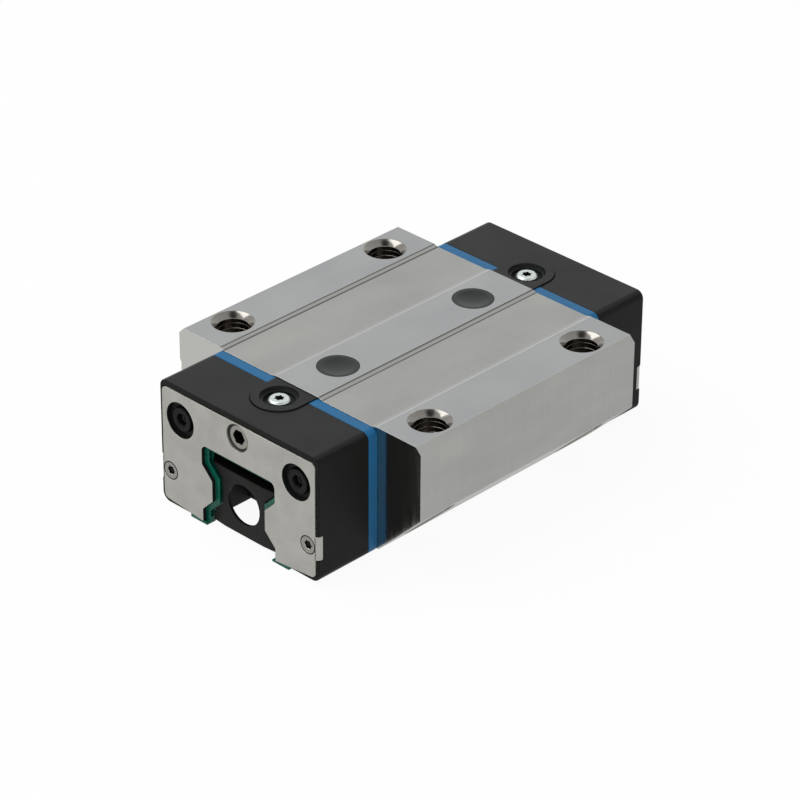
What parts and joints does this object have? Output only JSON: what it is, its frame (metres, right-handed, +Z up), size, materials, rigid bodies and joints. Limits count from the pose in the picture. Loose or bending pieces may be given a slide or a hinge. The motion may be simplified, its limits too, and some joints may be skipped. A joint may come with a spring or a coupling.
{
  "type": "flanged roller guide carriage",
  "caption": "Flanged recirculating roller carriage for a profiled rail, with end caps, end seals, lubrication ports, tapped mounting holes and a plastic mounting arbor.",
  "frame": {"origin": "centre of the bounding box's underside: under the middle of the carriage, level with the lowest edges of the end seals", "axes": "+X across the rail, +Y along the rail with the end plate seen in the picture at -Y, +Z up through the mounting face"},
  "size_m": [0.07, 0.097, 0.03],
  "materials": {
    "steel": "ground",
    "black_plastic": "fine moulded texture",
    "blue_plastic": "moulded",
    "green_rubber": "moulded",
    "stainless": "rolled sheet",
    "black_screw_steel": "black oxide",
    "zinc_screw": "bright zinc",
    "plug_plastic": "moulded",
    "guide_plastic": "moulded",
    "roller_steel": "lapped",
    "arbor_plastic": "moulded, matt"
  },
  "bodies": {
    "carriage": {"carriage_body": "steel", "front_centre_plug": "plug_plastic", "front_turn_plate": "blue_plastic", "front_end_cap": "black_plastic", "front_port_block": "black_plastic", "front_port_screw": "zinc_screw", "front_end_seal": "green_rubber", "front_end_plate": "stainless", "front_cap_screws": "black_screw_steel", "front_plate_screws": "zinc_screw", "front_grub_screw": "zinc_screw", "rear_centre_plug": "plug_plastic", "rear_turn_plate": "blue_plastic", "rear_end_cap": "black_plastic", "rear_port_block": "black_plastic", "rear_port_screw": "zinc_screw", "rear_end_seal": "green_rubber", "rear_end_plate": "stainless", "rear_cap_screws": "black_screw_steel", "rear_plate_screws": "zinc_screw", "rear_grub_screw": "zinc_screw", "right_upper_rollers": "roller_steel", "right_lower_rollers": "roller_steel", "right_return_tubes": "guide_plastic", "right_upper_roller_guide": "guide_plastic", "right_centre_roller_guide": "guide_plastic", "right_lower_roller_guide": "guide_plastic", "right_long_seal": "green_rubber", "left_upper_rollers": "roller_steel", "left_lower_rollers": "roller_steel", "left_return_tubes": "guide_plastic", "left_upper_roller_guide": "guide_plastic", "left_centre_roller_guide": "guide_plastic", "left_lower_roller_guide": "guide_plastic", "left_long_seal": "green_rubber"},
    "arbor": {"mounting_arbor": "arbor_plastic"}
  },
  "joints": [
    {"name": "arbor_slide", "type": "slide", "parent": "carriage", "child": "arbor", "axis": [0, 1, 0], "range_m": [-0.096, 0.096]}
  ]
}
